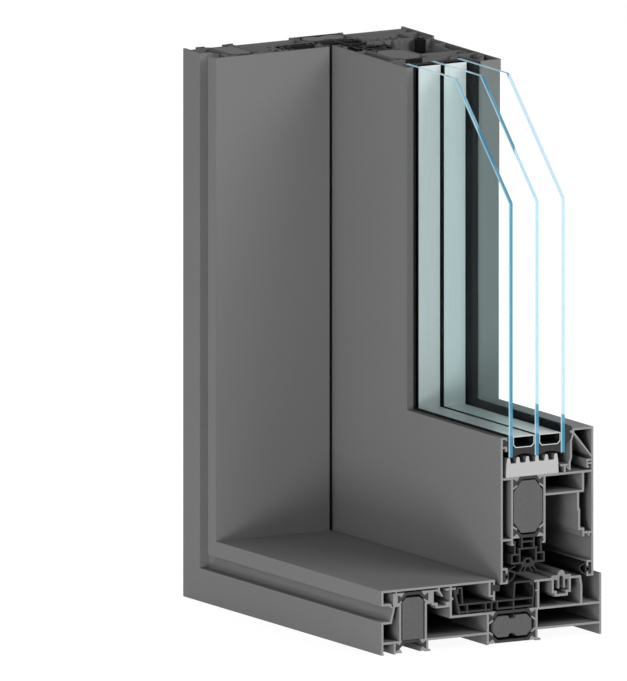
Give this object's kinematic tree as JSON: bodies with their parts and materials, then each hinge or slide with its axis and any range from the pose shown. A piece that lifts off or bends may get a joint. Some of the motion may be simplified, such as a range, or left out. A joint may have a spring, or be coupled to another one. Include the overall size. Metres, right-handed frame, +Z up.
{
  "type": "window frame profile section",
  "caption": "Mitred corner sample of a lift-and-slide door: coated aluminium frame and sash profiles, cut open to show chambers, insulating bars, foam cores, gaskets and triple glazing.",
  "frame": {"origin": "middle of the rectangle that the sample covers on the floor, at the underside of the sill", "axes": "+X along the sill, from the outer corner to the cut end; +Y from the outdoor face to the room; +Z up along the jamb"},
  "size_m": [0.278, 0.178, 0.39],
  "materials": {
    "coated_aluminium": "satin",
    "rail_metal": "satin",
    "polyamide": "matte",
    "foam": "matte",
    "black_pvc": "satin",
    "epdm": "matte",
    "float_glass": "polished",
    "spacer_metal": "satin",
    "edge_sealant": "matte",
    "block_plastic": "satin"
  },
  "bodies": {
    "frame": {"sill_front_shell": "coated_aluminium", "jamb_front_shell": "coated_aluminium", "sill_middle_shell": "coated_aluminium", "jamb_middle_shell": "coated_aluminium", "sill_rear_shell": "coated_aluminium", "jamb_rear_shell": "coated_aluminium", "sill_track_cover": "coated_aluminium", "jamb_track_cover": "coated_aluminium", "sill_front_bars": "polyamide", "jamb_front_bars": "polyamide", "sill_rear_bars": "polyamide", "jamb_rear_bars": "polyamide", "sill_front_core": "foam", "jamb_front_core": "foam", "sill_rear_core": "foam", "jamb_rear_core": "foam", "sill_track_insert": "black_pvc", "jamb_track_insert": "black_pvc", "sill_rail": "rail_metal", "jamb_rail": "rail_metal", "sill_cover_gasket": "epdm", "jamb_cover_gasket": "epdm"},
    "sash": {"bottom_rail_front_shell": "coated_aluminium", "stile_front_shell": "coated_aluminium", "bottom_rail_rear_shell": "coated_aluminium", "stile_rear_shell": "coated_aluminium", "bottom_rail_bars": "polyamide", "stile_bars": "polyamide", "bottom_rail_core": "foam", "stile_core": "foam", "bottom_rail_adaptor": "black_pvc", "stile_adaptor": "black_pvc", "bottom_rail_wiper": "epdm", "stile_wiper": "epdm", "bottom_rail_front_gasket": "epdm", "stile_front_gasket": "epdm", "bottom_rail_rear_gasket": "epdm", "stile_rear_gasket": "epdm", "bottom_glazing_bead": "coated_aluminium", "side_glazing_bead": "coated_aluminium", "bottom_outer_glazing_gasket": "epdm", "side_outer_glazing_gasket": "epdm", "bottom_inner_glazing_gasket": "epdm", "side_inner_glazing_gasket": "epdm", "outer_pane": "float_glass", "middle_pane": "float_glass", "inner_pane": "float_glass", "outer_spacer": "spacer_metal", "inner_spacer": "spacer_metal", "outer_edge_seal": "edge_sealant", "inner_edge_seal": "edge_sealant", "glazing_block": "block_plastic"}
  },
  "joints": [
    {"name": "sash_slide", "type": "slide", "parent": "frame", "child": "sash", "axis": [1, 0, 0], "range_m": [0, 0.1]}
  ]
}
